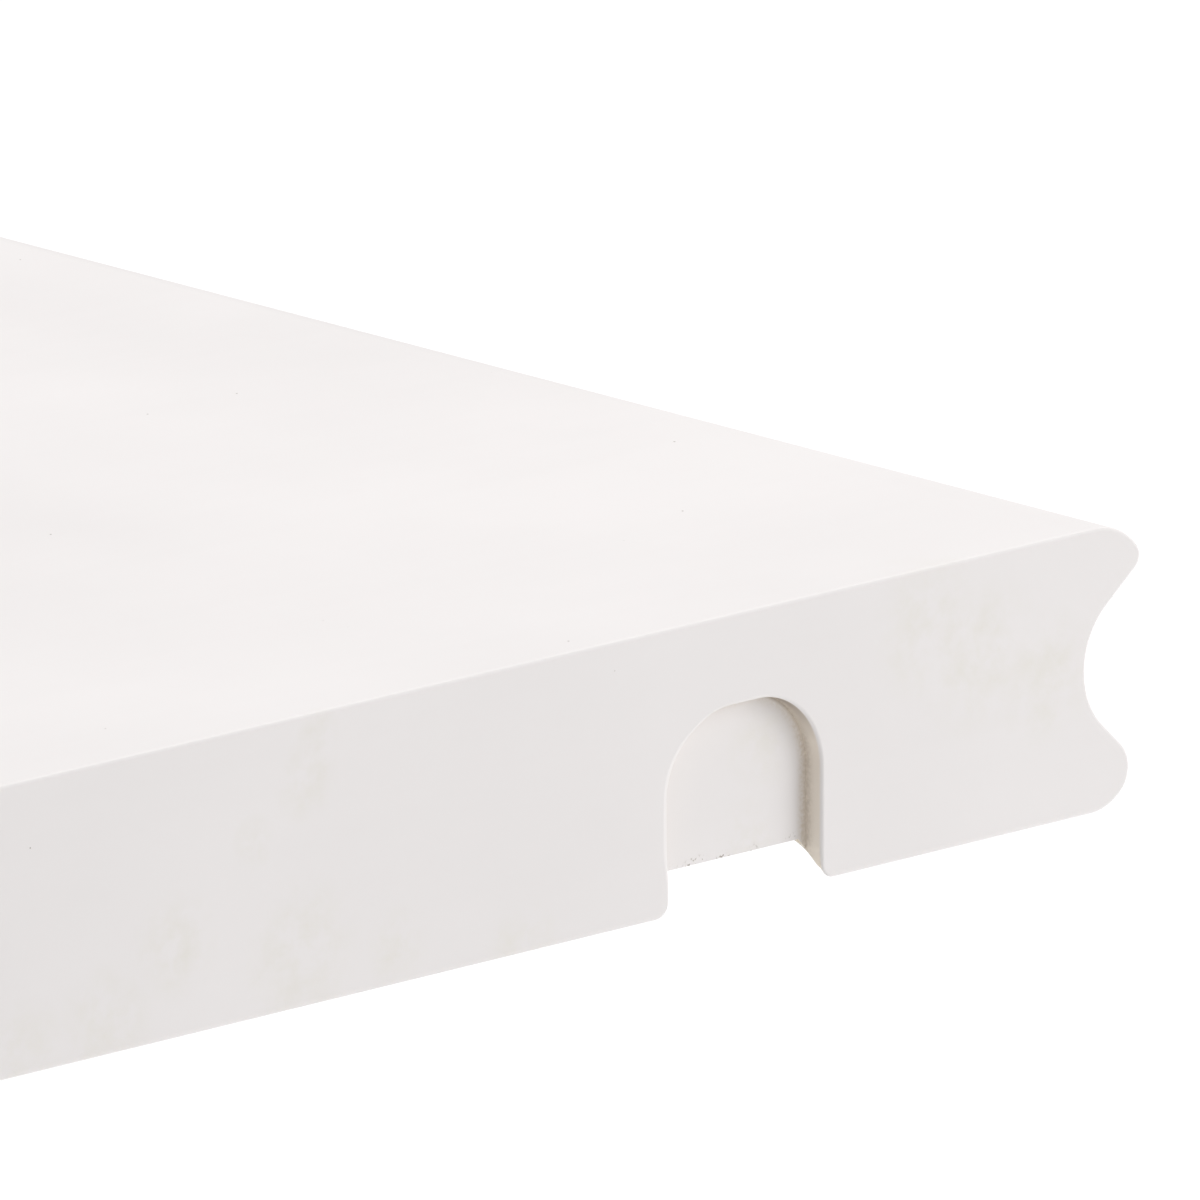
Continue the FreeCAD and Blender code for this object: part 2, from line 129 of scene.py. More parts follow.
print("section:", len(section), "points, cove radius", round(COVE_R / MM, 2), "mm")

# %% [markdown]
# ## The board blank
#
# We could extrude the section along each edge and join the runs with booleans. It is simpler to
# hold the section up at four stations: at the wall on the left, at each front corner and at the
# wall on the right. At a front corner a point stands in from both faces by the same depth,
# which is just how a mitre works. Skinning the stations gives the three moulded edges, and one
# flat face each closes the top, the underside and the back.

# %% Skin the blank
def in_scene(name, data):
    """A new object that shows the data, which may be a mesh, a lamp or a camera."""
    thing = bpy.data.objects.new(name, data)
    scene.collection.objects.link(thing)
    return thing


def new_piece(name, verts, faces):
    """A new mesh object from points and faces, with its faces turned outwards."""
    mesh = bpy.data.meshes.new(name)
    mesh.from_pydata(verts, [], faces)
    shape = bmesh.new()
    shape.from_mesh(mesh)
    bmesh.ops.recalc_face_normals(shape, faces=shape.faces)
    shape.to_mesh(mesh)
    shape.free()
    return in_scene(name, mesh)


verts = []
for side, at_wall in ((-1, True), (-1, False), (1, False), (1, True)):
    for depth, z in section:
        verts.append((side * (END_X - depth), 0.0 if at_wall else FRONT_Y + depth, z))
rows = len(section)
faces = []
for station in range(3):
    for i in range(rows - 1):
        a, b = station * rows + i, (station + 1) * rows + i
        faces.append((a, b, b + 1, a + 1))
faces.append([station * rows for station in range(4)])
faces.append([station * rows + rows - 1 for station in range(4)])
faces.append(list(range(rows)) + [3 * rows + i for i in reversed(range(rows))])
board = new_piece("painted_board", verts, faces)
print("blank:", len(verts), "points and", len(faces), "faces")

# %% [markdown]
# ## The seats
#
# On the real board a router cuts an arched seat 3 mm deep in the back face, for the bracket's
# ear. We make the same cutter as a solid and subtract it later. In the back face the seat's
# sides end in small round feet, but deeper in each side leans outwards into a slope with a
# larger foot. So the cutter is skinned over one outline for the face and one for the depth, as
# a boat's hull is skinned over its frames.

# %% Seat cutters
SEAT_HALF, SEAT_TOP, SEAT_DEPTH, ARCH_R = 13.3 * MM, UNDER + 26.0 * MM, 3.0 * MM, 11.0 * MM
POCKET_ROOF, CUTTER_R, ARM_ROOM = UNDER + 5.1 * MM, 2.7 * MM, 0.8 * MM
HIP, SIDE_STEP, SIDE_STEPS, ARCH_STEPS = UNDER + 3.6 * MM, 1.0 * MM, 6, 52
FACE_SLOPE, FACE_FOOT_R, DEEP_SLOPE, DEEP_FOOT_R = 90, 2.1 * MM, 51, 3.5 * MM
ARM_START = SEAT_DEPTH + CUTTER_R + ARM_ROOM
OVER = 1.0 * MM


def skinned(name, rings):
    """A closed solid over rings of points that all hold the same number of points."""
    around = len(rings[0])
    quads = [
        (level * around + i, level * around + (i + 1) % around,
         (level + 1) * around + (i + 1) % around, (level + 1) * around + i)
        for level in range(len(rings) - 1) for i in range(around)
    ]
    last = len(rings) * around
    quads += [list(range(around)), list(range(last - around, last))]
    return new_piece(name, [point for ring in rings for point in ring], quads)


def foot_points(degrees, foot_radius):
    """The right half of a foot, from below the underside up to the hip, for a side of that slope."""
    slope = math.radians(degrees)
    ankle = UNDER + foot_radius * (1 - math.cos(slope))
    foot = SEAT_HALF + (HIP - ankle) / math.tan(slope) + foot_radius * math.sin(slope)
    curve = arc_points((foot, UNDER + foot_radius), foot_radius, 270, 270 - degrees, count=12)
    return [(foot, UNDER - OVER)] + curve + [(SEAT_HALF, HIP)]


def ring_at(x, y, right_half):
    """A closed outline in the plane of depth y, from its right half, which runs upwards."""
    return [(x + u, y, z) for u, z in right_half + [(-u, z) for u, z in reversed(right_half)]]


FACE_FOOT, DEEP_FOOT = foot_points(FACE_SLOPE, FACE_FOOT_R), foot_points(DEEP_SLOPE, DEEP_FOOT_R)
SIDE = [(SEAT_HALF, HIP + step * SIDE_STEP) for step in range(1, SIDE_STEPS + 1)]
ARCH = arc_points((SEAT_HALF - ARCH_R, SEAT_TOP - ARCH_R), ARCH_R, 0, 90, count=ARCH_STEPS)


def seat_cutter(x):
    rings = [ring_at(x, y, FACE_FOOT + SIDE + ARCH) for y in (OVER, 0.0)]
    return skinned("seat_cutter", rings + [ring_at(x, -SEAT_DEPTH, DEEP_FOOT + SIDE + ARCH)])


def mouth_cutter(x):
    """Carries the deep foot on into the pocket, under a roof that its slopes run up to."""
    roof = (SEAT_HALF - (POCKET_ROOF - HIP) / math.tan(math.radians(DEEP_SLOPE)), POCKET_ROOF)
    depths = (-SEAT_DEPTH, -ARM_START - CUTTER_R)
    return skinned("mouth_cutter", [ring_at(x, y, DEEP_FOOT + [roof]) for y in depths])


print("seat outline:", len(FACE_FOOT + SIDE + ARCH), "points each side")

# %% [markdown]
# ## The pocket's rounded roof
#
# A router bit with rounded corners leaves a hollow whose walls curve into its roof. The cutter
# is a stack of rounded rectangles that shrink towards the roof, skinned like a lampshade.

# %% Pocket cutters
POCKET_HALF, POCKET_FRONT, POCKET_CORNER = 32.5 * MM, 57.5 * MM, 9.5 * MM


def pocket_ring(x, z, inset):
    """One rounded rectangle of the stack."""
    near, far = -SEAT_DEPTH - POCKET_CORNER, POCKET_CORNER - POCKET_FRONT
    ring = []
    for turn, side, y in ((0, 1, near), (90, -1, near), (180, -1, far), (270, 1, far)):
        centre = (x + side * (POCKET_HALF - POCKET_CORNER), y)
        curve = arc_points(centre, POCKET_CORNER - inset, turn, turn + 90, count=10)
        ring += [(u, v, z) for u, v in curve]
    return ring


def pocket_cutter(x):
    rings = [pocket_ring(x, UNDER - OVER, 0.0)]
    for out, up in arc_points((0.0, 0.0), CUTTER_R, 0, 90, count=8):
        rings.append(pocket_ring(x, POCKET_ROOF - CUTTER_R + up, CUTTER_R - out))
    return skinned("pocket_cutter", rings)


makers = (seat_cutter, mouth_cutter, pocket_cutter)
cutters = [make(side * SEAT_X) for side in (-1, 1) for make in makers]
print("cutters:", [cutter.name for cutter in cutters])

# %% [markdown]
# ## Cutting
#
# Blender's exact boolean keeps flat faces flat. Each cutter is applied once and then thrown
# away, so the board is left as one plain mesh. The pilot holes for the fixing screws go in the
# same way. The solid model's screws say where they are, one lift below their holes.

# %% Subtract the cutters
PILOT_R = 2.2 * MM


def nodes_named(start):
    """The solid model's nodes whose names start like this, in order."""
    return sorted(name for name in NODES if name.startswith(start))


def combine(piece, other, operation="DIFFERENCE"):
    """Subtracts another piece from this one, or joins it on, and throws that piece away."""
    change = piece.modifiers.new("combine", "BOOLEAN")
    change.operation = operation
    change.solver = "EXACT"
    change.object = other
    evaluated = piece.evaluated_get(bpy.context.evaluated_depsgraph_get())
    mesh = bpy.data.meshes.new_from_object(evaluated)
    piece.modifiers.clear()
    piece.data = mesh
    bpy.data.objects.remove(other)


def pilot_cutter(node):
    corner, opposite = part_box(node)
    middle = (corner + opposite) / 2
    circle = arc_points((middle.x, middle.y), PILOT_R, 0, 345, count=23)
    ends = (POCKET_ROOF - OVER, opposite.z + LIFT + OVER)
    return skinned("pilot_cutter", [[(x, y, z) for x, y in circle] for z in ends])


for cutter in cutters + [pilot_cutter(name) for name in nodes_named("fixing_screw")]:
    combine(board, cutter)
print("cut board:", len(board.data.vertices), "points and", len(board.data.polygons), "faces")

# %% [markdown]
# ## Soft arrises
#
# Nobody paints a razor-sharp edge: the joiner takes each arris off with a few strokes of
# sandpaper, and the paint rounds it further. The round is just under 0.5 mm wide, and less in
# the pocket. On the side of a seat nearer the middle of the board the paper bit deeper, and the
# round grows to 1.2 mm, so that side catches a broader line of light. We could bevel all edges
# by one amount, but then the inside corners would soften too. So we weigh each convex edge by
# where it is and let one bevel modifier do the rest. Its width may only change where edges
# follow each other almost in line, which is why the seats' outline has so many points.

# %% Weigh the edges
WORN_ARRIS, BACK_ARRIS, POCKET_ARRIS, ROOF_ARRIS = 1.2 * MM, 0.45 * MM, 0.4 * MM, 0.25 * MM
WORN_FROM, WORN_TO, WORN_RISE = 0.6 * SEAT_HALF, 1.5 * SEAT_HALF, 6.0 * MM
FLAT, WELD, SHARP = 0.05 * MM, 0.002 * MM, math.radians(40)


def eased(value, start, end):
    """0 before start, 1 after end, and an S-curve between them."""
    share = min(max((value - start) / (end - start), 0.0), 1.0)
    return share * share * (3 - 2 * share)


def arris_width(edge):
    """The width of the rounding that a convex edge of the board gets, in metres."""
    points = [v.co for v in edge.verts]
    if all(abs(p.y) < FLAT for p in points):
        middle = (points[0] + points[1]) / 2
        inwards = SEAT_X - abs(middle.x)
        if not 0 < inwards < WORN_TO or middle.z > SEAT_TOP + FLAT:
            return BACK_ARRIS
        worn = eased(inwards, WORN_FROM, SEAT_HALF) * eased(middle.z, HIP, HIP + WORN_RISE)
        return BACK_ARRIS + (WORN_ARRIS - BACK_ARRIS) * worn
    if all(abs(p.z - UNDER) < FLAT and p.y > -POCKET_FRONT - OVER for p in points):
        return POCKET_ARRIS
    if all(abs(p.z - POCKET_ROOF) < FLAT and p.y > -SEAT_DEPTH - FLAT for p in points):
        return ROOF_ARRIS
    return 0.0


shape = bmesh.new()
shape.from_mesh(board.data)
bmesh.ops.remove_doubles(shape, verts=shape.verts, dist=WELD)
weight = shape.edges.layers.float.new("bevel_weight_edge")
for edge in shape.edges:
    if edge.is_convex and edge.calc_face_angle(0.0) > SHARP:
        edge[weight] = arris_width(edge) / WORN_ARRIS
print("arrises to round:", sum(edge[weight] > 0 for edge in shape.edges), "edges")
shape.to_mesh(board.data)
shape.free()

# %% [markdown]
# ## The finished board
#
# The bevel is followed by weighted normals, which keep the large flat faces flat to the eye and leave all the
# shading to the small rounds. Then the board is parented to the body called shelf, and the four staves of the
# solid model, which it shows as one painted board, are hidden.

# %% Round the arrises and hand the board over
def smooth_by_angle(piece, degrees):
    """Shades the piece smooth, except over edges sharper than the angle."""
    shape = bmesh.new()
    shape.from_mesh(piece.data)
    for face in shape.faces:
        face.smooth = True
    for edge in shape.edges:
        edge.smooth = edge.calc_face_angle(0.0) < math.radians(degrees)
    shape.to_mesh(piece.data)
    shape.free()


smooth_by_angle(board, degrees=32)
rounding = board.modifiers.new("arrises", "BEVEL")
rounding.limit_method = "WEIGHT"
rounding.width = WORN_ARRIS
rounding.segments = 4
rounding.use_clamp_overlap = False
shading = board.modifiers.new("flat faces stay flat", "WEIGHTED_NORMAL")
shading.keep_sharp = True
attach(board, "shelf")
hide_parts(*STAVES)
print("board stands for", len(STAVES), "staves")

# %% [markdown]
# ## Colours and nodes
#
# Colours are written as the sRGB hex codes that a paint chart gives, and turned into the linear
# values that a shader works in. One small function adds any node, with its settings and links.
# Another starts a material with the values that are the same all over it.

# %% Colour and node helpers
def colour(code):
    """An sRGB hex code as the linear colour that a shader wants."""
    channels = [int(code[i : i + 2], 16) / 255 for i in (1, 3, 5)]
    return [c / 12.92 if c <= 0.04045 else ((c + 0.055) / 1.055) ** 2.4 for c in channels] + [1.0]


def add_node(tree, kind, inputs=None, **settings):
    """Adds one node. An input is a value, an output socket, or a node whose first output counts."""
    node = tree.nodes.new(kind)
    for name, value in settings.items():
        setattr(node, name, value)
    for name, value in (inputs or {}).items():
        if isinstance(value, bpy.types.Node):
            value = next(socket for socket in value.outputs if socket.enabled)
        if isinstance(value, bpy.types.NodeSocket):
            tree.links.new(value, node.inputs[name])
        else:
            node.inputs[name].default_value = value
    return node


def new_material(name, look):
    """A material with its tree and shader; look gives values for the shader's own sockets."""
    material = bpy.data.materials.new(name)
    material.use_nodes = True
    shader = material.node_tree.nodes["Principled BSDF"]
    for socket, value in look.items():
        shader.inputs[socket].default_value = value
    return material, material.node_tree, shader


print("white of the paint, linear:", [round(c, 3) for c in colour("#F1EDEC")[:3]])

# %% [markdown]
# ## The paint's colour
#
# Satin white water-based paint, put on sanded softwood with a foam roller. The eye sees a near
# white that is never quite even: the coat is a touch thinner here and there, in clouds about
# 60 mm across, and the wood's grain below it shows as streaks 4 mm wide along the board.
# Coordinates are the board's own, in metres, so a scale of 1 / size gives one feature per size.

# %% Satin paint
paint, tree, shader = new_material("satin_paint_on_pine", {"IOR": 1.5})
place = add_node(tree, "ShaderNodeTexCoord").outputs["Object"]
clouds = add_node(tree, "ShaderNodeTexNoise", {"Vector": place, "Scale": 1 / (60 * MM), "Detail": 4.0})
streaks = (1 / (150 * MM), 1 / (4 * MM), 1 / (4 * MM))
along = add_node(tree, "ShaderNodeMapping", {"Vector": place, "Scale": streaks})
grain = add_node(tree, "ShaderNodeTexNoise", {"Vector": along, "Scale": 1.0, "Detail": 5.0})
mottle = add_node(tree, "ShaderNodeMix", {"Factor": 0.15, "A": clouds, "B": grain})
shade = add_node(tree, "ShaderNodeMapRange", {"Value": mottle, "From Min": 0.35, "From Max": 0.65})
coat = add_node(
    tree, "ShaderNodeMix", {6: colour("#F1EDEC"), 7: colour("#F4F0EF"), "Factor": shade}, data_type="RGBA",
)
print("paint: clouds 60 mm across, grain 4 mm wide along the board")

# %% [markdown]
# ## Resin stains
#
# Knots and resin pockets bleed through white paint as faint warm patches with broken edges. We
# could let a texture scatter them, but a joiner knows where the knots of a board are, so we
# list them: a centre on a face and a radius, in millimetres. Each one fades outwards, and one
# noise breaks up the edges of them all.

# %% Stains from knots and resin
STAINS = [
    (-161, 0, 16, 4), (-159, 0, 10.5, 6), (-150, 0, 4, 4), (-136.5, 0, -7, 8), (-158, 0, -12, 11),
    (-174.5, 0, -14, 6), (-125, 0, -15, 9), (-111, 0, -16.5, 8), (-267, 0, 11, 11), (-288, 0, 1, 10),
    (-196, 0, -18.5, 7), (-241, -3, 0, 7), (-238, -3, -12, 6), (229, -3, -4, 8),
    (96, 0, 6, 9), (131, 0, -9, 6), (188, 0, -3, 8), (12, 0, 12, 7), (-276, 0, 6, 12),
    (-60, -140, 19, 13), (150, -205, 19, 12), (214, -66, 19, 9), (-12, -46, -19, 12),
    (-140, -180, -19, 14), (178, -150, -19, 11), (60, -254, 4, 9), (-210, -254, -8, 8),
]
broken = add_node(
    tree, "ShaderNodeTexNoise", {"Vector": place, "Scale": 1 / (5 * MM), "Detail": 5.0, "Roughness": 0.65},
)
stain = 0.0
for x, y, z, radius in STAINS:
    centre = (x * MM, y * MM, z * MM)
    away = add_node(tree, "ShaderNodeVectorMath", {0: place, 1: centre}, operation="DISTANCE")
    spot = add_node(
        tree, "ShaderNodeMapRange",
        {"Value": away.outputs["Value"], "From Min": radius * MM, "From Max": 0.3 * radius * MM},
    )
    stain = add_node(tree, "ShaderNodeMath", {0: stain, 1: spot}, operation="MAXIMUM")
patchy = add_node(tree, "ShaderNodeMapRange", {"Value": broken, "From Min": 0.4, "From Max": 0.65})
bled = add_node(tree, "ShaderNodeMath", {0: stain, 1: patchy}, operation="MULTIPLY")
stained = add_node(tree, "ShaderNodeMix", {6: coat, 7: colour("#EFEBE6"), "Factor": bled}, data_type="RGBA")
print("stains:", len(STAINS))

# %% [markdown]
# ## Pinholes
#
# Where the paint did not close a pore it leaves a dark dot 0.3 mm wide. A Voronoi texture puts
# one point in each cell of space, and a face cuts through only a few of them. Keeping the
# points whose random colour is high leaves about one dot on every 15 square centimetres.

# %% Pinholes
cells = add_node(tree, "ShaderNodeTexVoronoi", {"Vector": place, "Scale": 1 / (4 * MM)})
dot = add_node(
    tree, "ShaderNodeMapRange", {"Value": cells.outputs["Distance"], "From Min": 0.045, "From Max": 0.03},
)
chosen = add_node(tree, "ShaderNodeSeparateColor", {0: cells.outputs["Color"]})
rare = add_node(tree, "ShaderNodeMath", {0: chosen, 1: 0.86}, operation="GREATER_THAN")
pinhole = add_node(tree, "ShaderNodeMath", {0: dot, 1: rare}, operation="MULTIPLY")
pitted = add_node(
    tree, "ShaderNodeMix", {6: stained, 7: colour("#A39A90"), "Factor": pinhole}, data_type="RGBA",
)
print("pinholes: 4 mm cells")

# %% [markdown]
# ## Where the seats are
#
# Inside a seat the roller does not reach, and the paint is thin over cut fibres; the seat's crease and the
# outer shoulder of its arch also get painted shade. To paint these we need to know, at any point, how far it
# is from the seat's wall and from its back. We could paint a mask by hand, but the seat is just a straight
# slot with a round top, so a few sums give the distances. Taking the absolute value of X first covers both
# seats at once.

# %% Distances inside a seat
axes = add_node(tree, "ShaderNodeSeparateXYZ", {0: place})
from_middle = add_node(tree, "ShaderNodeMath", {0: axes.outputs["X"]}, operation="ABSOLUTE")
from_seat = add_node(tree, "ShaderNodeMath", {0: from_middle, 1: SEAT_X}, operation="SUBTRACT")
off_centre = add_node(tree, "ShaderNodeMath", {0: from_seat}, operation="ABSOLUTE")
sideways = add_node(tree, "ShaderNodeMath", {0: off_centre, 1: SEAT_HALF - ARCH_R}, operation="SUBTRACT")
upwards = add_node(tree, "ShaderNodeMath", {0: axes.outputs["Z"], 1: SEAT_TOP - ARCH_R}, operation="SUBTRACT")
right_part = add_node(tree, "ShaderNodeMath", {0: sideways, 1: 0.0}, operation="MAXIMUM")
upper_part = add_node(tree, "ShaderNodeMath", {0: upwards, 1: 0.0}, operation="MAXIMUM")
reach = add_node(tree, "ShaderNodeCombineXYZ", {0: right_part, 1: upper_part})
reach = add_node(tree, "ShaderNodeVectorMath", {0: reach}, operation="LENGTH")
to_wall = add_node(tree, "ShaderNodeMath", {0: ARCH_R, 1: reach.outputs["Value"]}, operation="SUBTRACT")
to_back = add_node(tree, "ShaderNodeMath", {0: axes.outputs["Y"], 1: SEAT_DEPTH}, operation="ADD")
corner = add_node(tree, "ShaderNodeCombineXYZ", {0: to_wall, 1: to_back})
crease = add_node(tree, "ShaderNodeVectorMath", {0: corner}, operation="LENGTH").outputs["Value"]
print("seat distances: to its wall, to its back and to the crease between them")

# %% [markdown]
# ## Thin paint and painted shade in the seats
#
# On the seat's wall, and on down over its feet, the paint has soaked into cut fibres, so it is warmer and
# duller than the rest. On the outer shoulder of the arch, under its crown, the wall is painted a darker
# brown: painted shade, which the floor's light from below would otherwise lift there. In the crease a
# brownish line of painted shade fades over 2 mm with a grainy edge, and thins out towards the crown.

# %% Thin paint on the wall, painted shade on the shoulder and in the crease
FOOT_REACH, CREASE_SHADE_REACH = 4.7 * MM, 1.9 * MM
on_wall = add_node(tree, "ShaderNodeMapRange", {"Value": to_wall, "From Min": 0.5 * MM, "From Max": 0.1 * MM})
on_foot = add_node(tree, "ShaderNodeMath", {0: to_wall, 1: -FOOT_REACH}, operation="GREATER_THAN")
sunk = add_node(
    tree, "ShaderNodeMapRange", {"Value": axes.outputs["Y"], "From Min": -0.2 * MM, "From Max": -0.5 * MM},
)
before_back = add_node(tree, "ShaderNodeMath", {0: to_back, 1: -FLAT}, operation="GREATER_THAN")
thin_wall = on_wall
for limit in (on_foot, sunk, before_back):
    thin_wall = add_node(tree, "ShaderNodeMath", {0: thin_wall, 1: limit}, operation="MULTIPLY")
# Painted shade: the outer shoulder under each arch's crown is painted a darker brown.
under_arch = add_node(
    tree, "ShaderNodeMapRange", {"Value": upper_part, "From Min": 0.3 * ARCH_R, "From Max": 0.85 * ARCH_R},
)
outer_side = add_node(
    tree, "ShaderNodeMapRange",
    {"Value": from_seat, "From Min": 0.1 * SEAT_HALF, "From Max": 0.5 * SEAT_HALF},
)
shoulder_shade = add_node(tree, "ShaderNodeMath", {0: under_arch, 1: outer_side}, operation="MULTIPLY")
thin_paint_and_shoulder_shade = add_node(
    tree, "ShaderNodeMix",
    {6: colour("#F1E8DC"), 7: colour("#A89C90"), "Factor": shoulder_shade}, data_type="RGBA",
)
walled = add_node(tree, "ShaderNodeMix", {6: pitted, 7: thin_paint_and_shoulder_shade, "Factor": thin_wall}, data_type="RGBA")
# Painted shade: a brownish line along each seat's crease, with a grainy edge, weaker towards the crown.
crease_grain = add_node(tree, "ShaderNodeTexNoise", {"Vector": place, "Scale": 1 / (0.5 * MM), "Detail": 2.0})
ragged = add_node(
    tree, "ShaderNodeMapRange",
    {"Value": crease_grain, "From Min": 0.3, "From Max": 0.7, "To Min": 0.4, "To Max": 1.3},
)
fading = add_node(
    tree, "ShaderNodeMapRange", {"Value": crease, "From Min": CREASE_SHADE_REACH, "From Max": 0.0},
    interpolation_type="SMOOTHSTEP",
)
crown_thinning = add_node(tree, "ShaderNodeMapRange", {"Value": under_arch, "To Min": 1.0, "To Max": 0.45})
crease_shade = add_node(tree, "ShaderNodeMath", {0: fading, 1: ragged}, operation="MULTIPLY", use_clamp=True)
crease_shade = add_node(tree, "ShaderNodeMath", {0: crease_shade, 1: crown_thinning}, operation="MULTIPLY")
with_crease_shade = add_node(
    tree, "ShaderNodeMix", {6: walled, 7: colour("#DBD1C4"), "Factor": crease_shade}, data_type="RGBA",
)
print("thin paint: on the seats' walls and in their creases")

# %% [markdown]
# ## Torn fibres
#
# Where the seat's back runs out into the pocket the cutter tore small fibres off the edge, and
# they show through the paint as dark specks under half a millimetre. They lie in a band just
# above the pocket's roof, only on the seat's back, and in clusters, because wood tears where
# its grain rises. So a fine noise makes the specks and a coarse one picks the clusters.

# %% Specks on the lower edge of the seats
BAND_LOW, BAND_HIGH, NEAR_BACK = POCKET_ROOF + 0.2 * MM, POCKET_ROOF + 1.3 * MM, 0.4 * MM
low_band = add_node(
    tree, "ShaderNodeMapRange", {"Value": axes.outputs["Z"], "From Min": BAND_HIGH, "From Max": BAND_LOW},
)
off_back = add_node(tree, "ShaderNodeMath", {0: to_back}, operation="ABSOLUTE")
at_back = add_node(tree, "ShaderNodeMath", {0: off_back, 1: NEAR_BACK}, operation="LESS_THAN")
in_width = add_node(tree, "ShaderNodeMath", {0: off_centre, 1: SEAT_HALF}, operation="LESS_THAN")
rising = add_node(tree, "ShaderNodeTexNoise", {"Vector": place, "Scale": 1 / (3.5 * MM), "Detail": 0.0})
cluster = add_node(tree, "ShaderNodeMapRange", {"Value": rising, "From Min": 0.46, "From Max": 0.6})
fibres = add_node(tree, "ShaderNodeTexNoise", {"Vector": place, "Scale": 1 / (0.5 * MM), "Detail": 1.0})
torn = add_node(tree, "ShaderNodeMapRange", {"Value": fibres, "From Min": 0.56, "From Max": 0.64})
speck = torn
for limit in (low_band, at_back, in_width, cluster):
    speck = add_node(tree, "ShaderNodeMath", {0: speck, 1: limit}, operation="MULTIPLY")
flecked = add_node(
    tree, "ShaderNodeMix", {6: with_crease_shade, 7: colour("#A89E94"), "Factor": speck}, data_type="RGBA",
)
print("torn fibres: in a band", round((BAND_HIGH - BAND_LOW) / MM, 1), "mm high")

# %% [markdown]
# ## Primer in the pockets
#
# Nobody sees the pockets once the shelf hangs, so they get primer and no top coat. The primer
# is thin, and the wood's grain shows through it in warm streaks. A pocket is a box, so its mask
# is a product of five limits. A loop builds them from a list of what each one compares.

# %% Mask of a pocket
def within(limits):
    """A mask that is 1 where every value in the list is past its limit, in metres."""
    mask = 1.0
    for value, comparison, limit in limits:
        test = add_node(tree, "ShaderNodeMath", {0: value, 1: limit}, operation=comparison)
        mask = add_node(tree, "ShaderNodeMath", {0: mask, 1: test}, operation="MULTIPLY")
    return mask


pocket = within([
    (axes.outputs["Z"], "LESS_THAN", POCKET_ROOF + FLAT),
    (axes.outputs["Z"], "GREATER_THAN", UNDER + POCKET_ARRIS),
    (axes.outputs["Y"], "LESS_THAN", -SEAT_DEPTH - FLAT),
    (axes.outputs["Y"], "GREATER_THAN", -POCKET_FRONT - FLAT),
    (off_centre, "LESS_THAN", POCKET_HALF + FLAT),
])
fine = (1 / (40 * MM), 1 / (0.9 * MM), 1 / (0.9 * MM))
fine_along = add_node(tree, "ShaderNodeMapping", {"Vector": place, "Scale": fine})
fine_grain = add_node(tree, "ShaderNodeTexNoise", {"Vector": fine_along, "Scale": 1.0, "Detail": 4.0})
streak = add_node(tree, "ShaderNodeMapRange", {"Value": fine_grain, "From Min": 0.4, "From Max": 0.66})
primer = add_node(
    tree, "ShaderNodeMix", {6: colour("#EBE5DA"), 7: colour("#D6C6AC"), "Factor": streak}, data_type="RGBA",
)
primed = add_node(tree, "ShaderNodeMix", {6: flecked, 7: primer, "Factor": pocket}, data_type="RGBA")
print("primer: grain 0.9 mm wide shows through")

# %% [markdown]
# ## Bare wood in the pilot holes
#
# The holes for the fixing screws are drilled after painting, so their walls are bare pine.
# Nothing else of the board's surface lies inside the wood there, so a rough box is mask enough.
# It ends below the top, under the wood that covers the holes.

# %% Bare wood and the finished colour
COVER = 5.0 * MM
drilled = within([
    (axes.outputs["Z"], "GREATER_THAN", POCKET_ROOF + FLAT),
    (axes.outputs["Z"], "LESS_THAN", TOP - COVER),
    (axes.outputs["Y"], "LESS_THAN", -2 * SEAT_DEPTH),
    (axes.outputs["Y"], "GREATER_THAN", -POCKET_FRONT),
    (off_centre, "LESS_THAN", POCKET_HALF),
])
pine = add_node(
    tree, "ShaderNodeMix", {6: colour("#D9B98A"), 7: colour("#B98F5C"), "Factor": streak}, data_type="RGBA",
)
finished = add_node(tree, "ShaderNodeMix", {6: primed, 7: pine, "Factor": drilled}, data_type="RGBA")
tree.links.new(finished.outputs[2], shader.inputs["Base Color"])
print("pilot holes: bare pine")

# %% [markdown]
# ## The paint's sheen and relief
#
# Satin paint has a soft sheen, a little duller where it is thin and dull in the primer. A foam
# roller leaves a stipple of low bumps about 0.8 mm across, and the grain below it stands a
# hair's breadth proud. In the primer the raised fibres are rougher. All of it is far too low to
# model, so one bump node carries it, in heights of a few hundredths of a millimetre.

# %% Roughness and bump
bare = add_node(tree, "ShaderNodeMath", {0: pocket, 1: drilled}, operation="MAXIMUM")
bare = add_node(tree, "ShaderNodeMath", {0: bare, 1: thin_wall}, operation="MAXIMUM")
satin = add_node(tree, "ShaderNodeMapRange", {"Value": clouds, "To Min": 0.42, "To Max": 0.56})
sheen = add_node(tree, "ShaderNodeMix", {"Factor": bare, "A": satin, "B": 0.75})
tree.links.new(sheen.outputs[0], shader.inputs["Roughness"])
stipple = add_node(tree, "ShaderNodeTexNoise", {"Vector": place, "Scale": 1 / (0.8 * MM), "Detail": 2.0})
raised = add_node(tree, "ShaderNodeMath", {0: grain, 1: 0.6, 2: stipple}, operation="MULTIPLY_ADD")
fuzz = add_node(tree, "ShaderNodeMath", {0: fine_grain, 1: 4.0, 2: stipple}, operation="MULTIPLY_ADD")
height = add_node(tree, "ShaderNodeMix", {"Factor": bare, "A": raised, "B": fuzz})
relief = add_node(tree, "ShaderNodeBump", {"Height": height, "Strength": 0.12, "Distance": 0.05 * MM})
tree.links.new(relief.outputs[0], shader.inputs["Normal"])
board.data.materials.clear()
board.data.materials.append(paint)
print("relief: stipple 0.8 mm across")

# %% [markdown]
# ## Zinc-plated steel
#
# The brackets and screws are mild steel with bright zinc plating. It is a metal, so its colour
# is that of its reflection, a cool light grey, and its IOR stays at the default. Plating in a
# barrel leaves a soft bloom: patches of 6 mm that are duller than others, a hint of yellow in
# places, and fine scuffs from pieces that rubbed together. The rolled sheet's own lines run
# along X, a few tenths of a millimetre apart, drawn at 0.5 mm so that they show.

